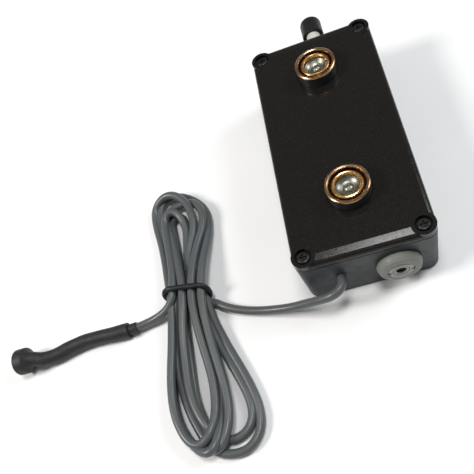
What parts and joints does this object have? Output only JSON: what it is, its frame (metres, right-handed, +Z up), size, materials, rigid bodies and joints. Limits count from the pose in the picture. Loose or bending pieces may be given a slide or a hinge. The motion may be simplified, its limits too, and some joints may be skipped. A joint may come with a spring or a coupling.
{
  "type": "ultrasonic distance sensor",
  "caption": "Handheld ultrasonic distance sensor: a flat black case with round transducers on its lid, a jack, a range knob and a tied grey lead to a small vibrating head.",
  "frame": {"origin": "centre of the case's flat underside", "axes": "+Z up through the lid, -Y out of the front wall with the jack and the lead, +Y out of the rear wall with the knob, +X to the right when the front wall is faced"},
  "size_m": [0.1755, 0.1758, 0.0333],
  "materials": {
    "case_black": "satin, finely textured",
    "lid_black": "glossy with a fine grain",
    "screw_black": "blackened, satin",
    "collar_black": "satin",
    "rim_gold": "polished, warm",
    "horn_silver": "satin spun metal",
    "plate_brass": "bare",
    "header_black": "matt",
    "pin_tinned": "tinned",
    "surround_grey": "matt",
    "nickel": "satin nickel",
    "jack_plastic": "matt",
    "contact_brass": "bright",
    "cord_grey": "satin, soft",
    "tie_black": "satin",
    "sleeve_black": "satin, slightly mottled",
    "capsule_steel": "satin",
    "rotor_weight": "sintered, matt",
    "control_metal": "satin",
    "track_brown": "matt laminate",
    "shaft_white": "satin",
    "knob_black": "satin, fine grain",
    "board_green": "satin",
    "chip_black": "matt",
    "can_silver": "satin",
    "capacitor_blue": "satin sleeve",
    "resistor_tan": "satin",
    "ferrite_grey": "matt",
    "header_white": "satin",
    "cell_silver": "satin foil",
    "foam_grey": "soft foam",
    "strap_white": "satin nylon"
  },
  "bodies": {
    "case": {"base_shell": "case_black", "lid": "lid_black", "lid_screws": "screw_black", "jack_surround": "surround_grey", "jack_nut": "nickel", "jack_bushing": "nickel", "jack_body": "jack_plastic", "jack_contact": "contact_brass", "jack_lugs": "pin_tinned", "control_cover": "control_metal", "control_track": "track_brown", "control_bushing": "control_metal", "control_washer": "control_metal", "control_nut": "control_metal", "control_lugs": "pin_tinned", "circuit_board": "board_green", "controller_chip": "chip_black", "amplifier_chip": "chip_black", "crystal": "can_silver", "capacitors": "capacitor_blue", "resistors": "resistor_tan", "driver_transformer": "ferrite_grey", "voltage_regulator": "chip_black", "lead_header": "header_white", "board_screws": "pin_tinned", "battery_cell": "cell_silver", "battery_pad": "foam_grey", "lead_bush": "collar_black", "lead_inside": "cord_grey", "strain_tie": "strap_white", "cable_lead": "cord_grey", "hank_tie": "tie_black", "cable_hank": "cord_grey", "cable_tail": "cord_grey", "inner_sleeve": "sleeve_black", "outer_sleeve": "sleeve_black", "head_cap": "sleeve_black", "capsule_cup": "capsule_steel", "capsule_cover": "capsule_steel", "transmitter_collar": "collar_black", "transmitter_can": "rim_gold", "transmitter_ring": "rim_gold", "transmitter_cone": "horn_silver", "transmitter_plate": "plate_brass", "transmitter_header": "header_black", "transmitter_pins": "pin_tinned", "receiver_collar": "collar_black", "receiver_can": "rim_gold", "receiver_ring": "rim_gold", "receiver_cone": "horn_silver", "receiver_plate": "plate_brass", "receiver_header": "header_black", "receiver_pins": "pin_tinned"},
    "knob": {"range_knob": "knob_black", "control_shaft": "shaft_white", "control_wiper": "contact_brass"},
    "rotor": {"capsule_rotor": "rotor_weight"}
  },
  "joints": [
    {"name": "range_knob_turn", "type": "hinge", "parent": "case", "child": "knob", "pos_m": [0.0024, 0.06, 0.016], "axis": [0, 1, 0], "range_deg": [-150, 150]},
    {"name": "capsule_spin", "type": "hinge", "parent": "case", "child": "rotor", "pos_m": [-0.148, -0.0478, 0.0057], "axis": [-0.9991, 0.011, -0.04], "continuous": true}
  ]
}
